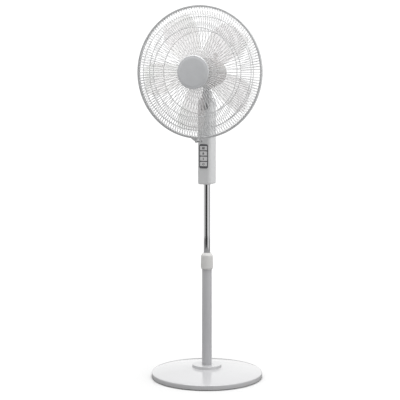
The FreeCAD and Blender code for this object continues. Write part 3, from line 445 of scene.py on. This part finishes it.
def power_ring(x, z, y, size):
    """Open ring with an upright stroke in its gap."""
    made = bmesh.new()
    turns = 24
    points = [Vector((x + size * math.sin(a), y, z + size * math.cos(a)))
              for a in (math.radians(38 + 284 * k / turns) for k in range(turns + 1))]
    tube(made, points, 0.85 * MM, 8)
    tube(made, [Vector((x, y, z + size * 0.2)), Vector((x, y, z + size * 1.35))], 0.85 * MM, 8)
    return pressed(made, y)


def bars(count, x, z, y, high, gap):
    """Upright strokes, side by side."""
    made = bmesh.new()
    for k in range(count):
        at = x + (k - (count - 1) / 2) * gap
        tube(made, [Vector((at, y, z - high / 2)), Vector((at, y, z + high / 2))], 1.15 * MM, 8)
    return pressed(made, y)


def keys():
    """Four soft-edged keys with their marks."""
    deep = 6.0 * MM
    marks = {"key_off": 0, "key_low": 1, "key_medium": 2, "key_high": 3}
    for name, strokes in marks.items():
        low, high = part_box(name)
        body = name.replace("key_", "") + "_key"
        centre = (low + high) / 2
        outline = rounded_rectangle(high.x - low.x, high.z - low.z, 2.2 * MM, centre.x, centre.z, 8)
        cap = prism(outline, 0.0, deep, facing_front(low.y + deep), 1.1 * MM)
        linked(name + "_look", cap, body, key_grey, [name], 30)
        face = low.y + 0.05 * MM
        if strokes:
            ink = bars(strokes, centre.x, centre.z, face, 7.4 * MM, 3.1 * MM)
        else:
            ink = power_ring(centre.x, centre.z, face, 3.3 * MM)
        linked(name + "_mark", ink, body, key_ink)


# ---------------------------------------------------------------- cage
# the wires' middle lines, in mm: start (radius, y), heading, bend, parts and the short wires'
# first part; a part is an arc (radius, degrees) or a straight run (length, 0)
FRONT_LINE = ((50.0, -129.5), 6.14, 1, ((96.96, 0), (98.3, 45.36)), 1)
REAR_LINE = ((47.0, -37.5), -4.0, -1, ((31.4, 0), (300, 5.4), (31.4, 0),
                                      (15.7, 0), (120, 10.0), (15.7, 0), (94, 16.85)), 3)
WIRES = 72
WIRE = 1.0 * MM


def wire_line(line, first_part=0):
    """Points along a cage wire in the (radius, y) half plane, from one of its parts to its end."""
    (x, y), heading, bend, parts, _ = line
    spots = []
    for number, (size, sweep) in enumerate(parts):
        steps = max(2, round(sweep / 2.4))
        x0, y0 = x, y
        for k in range(steps + 1):
            share = k / steps
            if sweep:
                turned = math.radians(heading + bend * sweep * share)
                first = math.radians(heading)
                x = x0 + bend * size * (math.sin(turned) - math.sin(first))
                y = y0 - bend * size * (math.cos(turned) - math.cos(first))
            else:
                x = x0 + size * share * math.cos(math.radians(heading))
                y = y0 + size * share * math.sin(math.radians(heading))
            if number >= first_part and (k or number == first_part):
                spots.append(Vector((x, y)))
        heading += bend * sweep
    return spots


def spoke(path, angle):
    return [Vector((p.x * MM * math.cos(angle), p.y * MM, HEAD.z + p.x * MM * math.sin(angle)))
            for p in path]


def round_wire(made, radius, y, wire, turns=180, sides=10):
    points = [Vector((radius * math.cos(a), y, HEAD.z + radius * math.sin(a)))
              for a in (2 * math.pi * k / turns for k in range(turns))]
    tube(made, points, wire, sides, closed=True)


def level_at(path, radius):
    """Height and direction of a path where it passes a radius."""
    for a, b in zip(path, path[1:]):
        if radius <= b.x:
            share = (radius - a.x) / (b.x - a.x)
            return a.y + (b.y - a.y) * share, (b - a).normalized()
    return path[-1].y, (path[-1] - path[-2]).normalized()


def grille(name, line, ring_radii, rim_y):
    """Long and short wires with the rings that hold them."""
    long_path = wire_line(line)
    short_path = wire_line(line, line[4])
    wires = bmesh.new()
    for k in range(WIRES):
        for path, shift in ((long_path, 0.0), (short_path, 0.5)):
            tube(wires, spoke(path, 2 * math.pi * (k + shift) / WIRES), WIRE, 8)
    linked(name + "_wires", wires, "head", wire_paint, [name])
    rings = bmesh.new()
    for radius in ring_radii:
        y, along = level_at(long_path, radius)
        gap = 2.2 * line[2]
        round_wire(rings, (radius - along.y * gap) * MM, (y + along.x * gap) * MM, 1.3 * MM)
    round_wire(rings, band_high.x - 4.6 * MM, rim_y, 2.2 * MM, 240, 12)
    linked(name + "_rings", rings, "head", wire_paint, ())


def rear_plate():
    """Pressed plate in the middle of the rear grille."""
    y = -35.6 * MM
    outline = soften([(17.4 * MM, y - 0.8 * MM, 0.2 * MM), (40 * MM, y - 0.8 * MM, 0),
                      (48 * MM, y - 0.8 * MM, 0.4 * MM), (48 * MM, y + 0.8 * MM, 0.4 * MM),
                      (17.4 * MM, y + 0.8 * MM, 0.2 * MM)], 3)
    linked("rear_grille_plate", lathe(outline, 96, flat=True), "head", wire_paint, ())


def badge():
    """Dished round badge with a bright lip."""
    front = badge_low.y
    r = badge_high.x
    outline = [(0.0, front, 0)]
    outline += [((r - 7 * MM) * k / 10, front + 0.8 * MM * (k / 10) ** 2, 0) for k in range(1, 11)]
    outline += [(r - 5.6 * MM, front + 1.5 * MM, 0.6 * MM), (r - 3.6 * MM, front + 1.2 * MM, 0.8 * MM),
                (r - 1.4 * MM, front + 2.2 * MM, 1.2 * MM), (r, front + 3.6 * MM, 0.9 * MM),
                (r, front + 5.2 * MM, 0.3 * MM), (r - 1.8 * MM, front + 5.2 * MM, 0.3 * MM),
                (r - 1.8 * MM, front + 4.4 * MM, 0), (r - 7 * MM, front + 3.4 * MM, 0),
                (0.0, front + 2.6 * MM, 0)]
    linked("grille_badge_look", lathe(soften(outline, 4), 160, flat=True), "head", badge_silver,
           ["grille_badge"], 28)


# ---------------------------------------------------------------- propeller
BLADES = 5
FIRST_BLADE = 48.0
SECTIONS = [  # radius, chord, pitch, lead, camber, thickness
    (27, 52, 40, -4, 3.0, 3.0), (60, 80, 33, -4, 5.0, 2.6), (105, 106, 26, -6, 7.0, 2.4),
    (150, 118, 20, -10, 6.0, 2.2), (179, 104, 15, -13, 5.0, 2.0), (193, 78, 14, -16, 3.0, 1.8),
]


def section_at(radius):
    """The blade's section at a radius, eased between the ones that set its shape."""
    for one, other in zip(SECTIONS, SECTIONS[1:]):
        if radius <= other[0]:
            share = (radius - one[0]) / (other[0] - one[0])
            return [a + (b - a) * share for a, b in zip(one, other)]
    return SECTIONS[-1]


def propeller():
    """Five blades and the hub cup, moulded in one."""
    middle = -80.0
    root, tip = 28, SECTIONS[-1][0]
    spans, chords = 26, 20
    made = bmesh.new()
    for blade in range(BLADES):
        turn = math.radians(FIRST_BLADE + 360.0 * blade / BLADES)
        faces = []
        for row in range(spans + 1):
            radius = root + (tip - root) * row / spans
            _, chord, pitch, lead, camber, thickness = section_at(radius)
            pitch = -math.radians(pitch)
            loop = []
            for k in range(2 * chords):
                share = k / chords if k <= chords else (2 * chords - k) / chords
                upper = 1 if k <= chords else -1
                along = (share - 0.5) * chord
                bow = camber * (1 - (2 * share - 1) ** 2)
                half = thickness / 2 * math.sqrt(max(0.0, 1 - (2 * share - 1) ** 6))
                rise = bow + upper * half
                side = along * math.cos(pitch) - rise * math.sin(pitch) + lead
                back = along * math.sin(pitch) + rise * math.cos(pitch) + middle
                x = radius * math.cos(turn) - side * math.sin(turn)
                z = radius * math.sin(turn) + side * math.cos(turn)
                loop.append(made.verts.new((x * MM, back * MM, HEAD.z + z * MM)))
            faces.append(loop)
        for one, other in zip(faces, faces[1:]):
            for k in range(2 * chords):
                j = (k + 1) % (2 * chords)
                made.faces.new((one[k], one[j], other[j], other[k]))
        made.faces.new(faces[0])
        made.faces.new(list(reversed(faces[-1])))
    linked("fan_blades_look", made, "rotor", blade_clear, ["fan_blade"], 40)
    hub_front, hub_back, hub_floor = -98 * MM, -62 * MM, -95.6 * MM
    hub = soften([(4.1 * MM, hub_front, 0), (30 * MM, hub_front, 3 * MM),
                  (30 * MM, hub_back, 0.6 * MM), (27.6 * MM, hub_back, 0.6 * MM),
                  (27.6 * MM, hub_floor, 1.5 * MM), (8 * MM, hub_floor, 1 * MM),
                  (8 * MM, hub_back, 0.5 * MM), (4.1 * MM, hub_back, 0)], 4)
    linked("fan_hub_look", lathe(hub, 96, flat=True), "rotor", blade_clear, ())


# ---------------------------------------------------------------- stage
GLOW = 0.60     # the soft light from all round


def camera_only(tree, seen, other, output):
    """One shader for what the camera sees directly and one for everything else."""
    path = node(tree, "ShaderNodeLightPath")
    mix = node(tree, "ShaderNodeMixShader")
    tree.links.new(path.outputs["Is Camera Ray"], mix.inputs[0])
    tree.links.new(other, mix.inputs[1])
    tree.links.new(seen, mix.inputs[2])
    tree.links.new(mix.outputs[0], output)


def backdrop():
    """White all round for the camera, soft grey light for the fan."""
    world = bpy.data.worlds.new("studio")
    bpy.context.scene.world = world
    world.use_nodes = True
    tree = world.node_tree
    seen = tree.nodes["Background"]
    seen.inputs["Color"].default_value = (1, 1, 1, 1)
    seen.inputs["Strength"].default_value = 1.15
    glow = node(tree, "ShaderNodeBackground")
    glow.inputs["Color"].default_value = (1, 1, 1, 1)
    glow.inputs["Strength"].default_value = GLOW
    camera_only(tree, seen.outputs[0], glow.outputs[0], tree.nodes["World Output"].inputs["Surface"])


def floor():
    """Pale floor that melts into the white a step away from the base."""
    below = 0.4 * MM
    bpy.ops.mesh.primitive_circle_add(vertices=96, radius=3.0, fill_type="NGON",
                                      location=(0, 0, -below))
    made = bpy.context.object
    made.name = "floor"
    paint, tree, shader = shader_of("floor_paint")
    tint = ramp(tree, grain(tree, 3), (0.79, 0.79, 0.79), (0.80, 0.80, 0.80))
    tree.links.new(tint, shader.inputs["Base Color"])
    shader.inputs["Roughness"].default_value = 0.95
    shader.inputs["Specular IOR Level"].default_value = 0.1
    place = node(tree, "ShaderNodeTexCoord")
    distance = node(tree, "ShaderNodeVectorMath", operation="LENGTH")
    tree.links.new(place.outputs["Object"], distance.inputs[0])
    fade = node(tree, "ShaderNodeMapRange", interpolation_type="SMOOTHSTEP")
    fade.inputs["From Min"].default_value = 0.23
    fade.inputs["From Max"].default_value = 0.62
    fade.inputs["To Min"].default_value = 1.0
    fade.inputs["To Max"].default_value = 0.0
    tree.links.new(distance.outputs["Value"], fade.inputs["Value"])
    tree.links.new(fade.outputs["Result"], shader.inputs["Alpha"])
    dull = node(tree, "ShaderNodeBsdfDiffuse")
    dull.inputs["Color"].default_value = (0.30, 0.30, 0.30, 1)
    camera_only(tree, shader.outputs[0], dull.outputs[0],
                tree.nodes["Material Output"].inputs["Surface"])
    made.data.materials.append(paint)


def soft_box(name, place, aim, wide, high, energy):
    """A soft rectangular light turned to a point."""
    lamp = bpy.data.lights.new(name, "AREA")
    lamp.shape = "RECTANGLE"
    lamp.energy = energy
    lamp.size = wide
    lamp.size_y = high
    made = bpy.data.objects.new(name, lamp)
    made.location = place
    made.rotation_mode = "QUATERNION"
    made.rotation_quaternion = (Vector(aim) - Vector(place)).to_track_quat("-Z", "Y")
    bpy.context.scene.collection.objects.link(made)


def card(name, bearing, spread_angle, shade):
    """An upright curved card that only gloss sees. Its bearing is counted from +X, in degrees."""
    mesh_maker = bmesh.new()
    steps = 12
    reach, foot, top = 2.0, -1.0, 2.6
    rows = []
    for k in range(steps + 1):
        angle = math.radians(bearing + spread_angle * (k / steps - 0.5))
        rows.append([mesh_maker.verts.new((reach * math.cos(angle), reach * math.sin(angle), z))
                     for z in (foot, top)])
    for one, other in zip(rows, rows[1:]):
        mesh_maker.faces.new((one[0], one[1], other[1], other[0]))
    mesh = bpy.data.meshes.new(name)
    mesh_maker.to_mesh(mesh)
    mesh_maker.free()
    made = bpy.data.objects.new(name, mesh)
    paint, tree, shader = shader_of(name + "_paint")
    tint = ramp(tree, grain(tree, 2), (shade * 0.95,) * 3, (shade * 1.05,) * 3)
    tree.links.new(tint, shader.inputs["Emission Color"])
    shader.inputs["Emission Strength"].default_value = 1.0
    shader.inputs["Base Color"].default_value = (0, 0, 0, 1)
    shader.inputs["Specular IOR Level"].default_value = 0.0
    mesh.materials.append(paint)
    made.visible_camera = False
    made.visible_diffuse = False
    made.visible_shadow = False
    made.visible_transmission = False
    bpy.context.scene.collection.objects.link(made)


def studio():
    """Soft light from above, a little from the left and right, and cards for the chrome."""
    backdrop()
    floor()
    soft_box("overhead", (0.0, 0.1, 3.4), (0, 0, 0.6), 3.0, 3.0, 100)
    soft_box("right_box", (3.0, -0.6, 1.2), (0, 0, 0.9), 0.9, 2.2, 14)
    card("dark_card", -91, 62, 0.035)
    card("dark_strip", 19, 15, 0.16)
    card("white_card", -19, 34, 0.80)
    card("back_card", 110, 115, 1.0)


def camera():
    """Camera at the height of the motor, a little to the fan's right."""
    azimuth = math.radians(20.3)
    distance = 3.8
    height = 0.998
    aim_left, aim_height = 0.0237, 0.611
    lens = bpy.data.cameras.new("camera")
    lens.lens = 101.2
    lens.sensor_width = 36.0
    lens.clip_end = 100
    shot = bpy.data.objects.new("camera", lens)
    bpy.context.scene.collection.objects.link(shot)
    shot.location = (distance * math.sin(azimuth), -distance * math.cos(azimuth), height)
    aim = Vector((-aim_left * math.cos(azimuth), -aim_left * math.sin(azimuth), aim_height))
    shot.rotation_mode = "QUATERNION"
    shot.rotation_quaternion = (aim - shot.location).to_track_quat("-Z", "Y")
    bpy.context.scene.camera = shot
    bpy.context.scene.view_settings.view_transform = "Standard"


base()
plain_tube("lower_tube_look", "lower_tube", 1.2 * MM, "stand", tube_paint)
plain_tube("inner_tube_look", "inner_tube", 1.0 * MM, "mast", chrome)
collar()
keys()
grille("front_grille", FRONT_LINE, (51.6, 146, 190), RIM - 2.6 * MM)
grille("rear_grille", REAR_LINE, (137, 184), RIM + 2.6 * MM)
rear_plate()
badge()
propeller()
studio()
camera()
